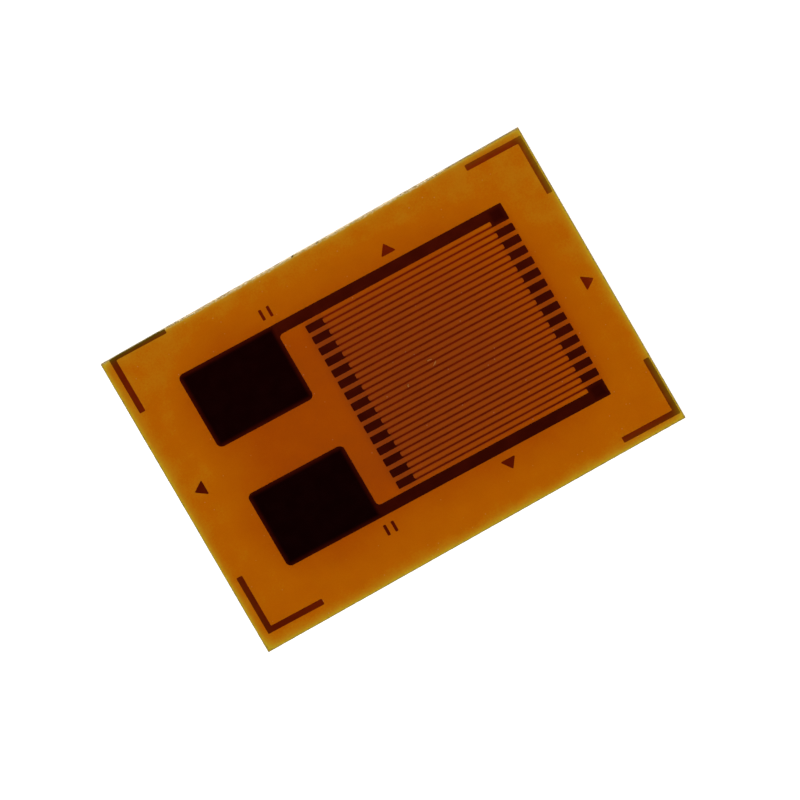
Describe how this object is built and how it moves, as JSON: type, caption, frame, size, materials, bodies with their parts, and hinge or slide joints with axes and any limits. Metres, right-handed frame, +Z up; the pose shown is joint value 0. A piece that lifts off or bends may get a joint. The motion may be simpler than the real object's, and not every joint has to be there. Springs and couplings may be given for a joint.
{
  "type": "foil strain gauge",
  "caption": "Bonded foil strain gauge: a serpentine alloy-foil grid with end loops, leads and solder tabs on a thin amber film that is glued to a surface to sense its strain.",
  "frame": {"origin": "where the centre lines of the four arrows cross, on the underside of the backing film", "axes": "+X along the grid lines, the measuring axis, from the solder tabs to the far end; +Y across the grid; +Z up, from the bonded underside to the foil"},
  "size_m": [0.0074, 0.0055, 0.0001],
  "materials": {
    "amber_film": "translucent amber polymer film, satin",
    "resistor_foil": "etched copper-nickel foil, dark brown-black",
    "mark_foil": "etched copper-nickel foil, red-brown"
  },
  "bodies": {
    "root": {"backing_film": "amber_film", "measuring_foil": "resistor_foil", "trim_mark_tab_upper": "mark_foil", "trim_mark_tab_lower": "mark_foil", "trim_mark_far_upper": "mark_foil", "trim_mark_far_lower": "mark_foil", "axis_arrow_upper": "mark_foil", "axis_arrow_lower": "mark_foil", "axis_arrow_tab_end": "mark_foil", "axis_arrow_far_end": "mark_foil", "tab_tick_upper_tab": "mark_foil", "tab_tick_upper_far": "mark_foil", "tab_tick_lower_tab": "mark_foil", "tab_tick_lower_far": "mark_foil"}
  },
  "joints": []
}
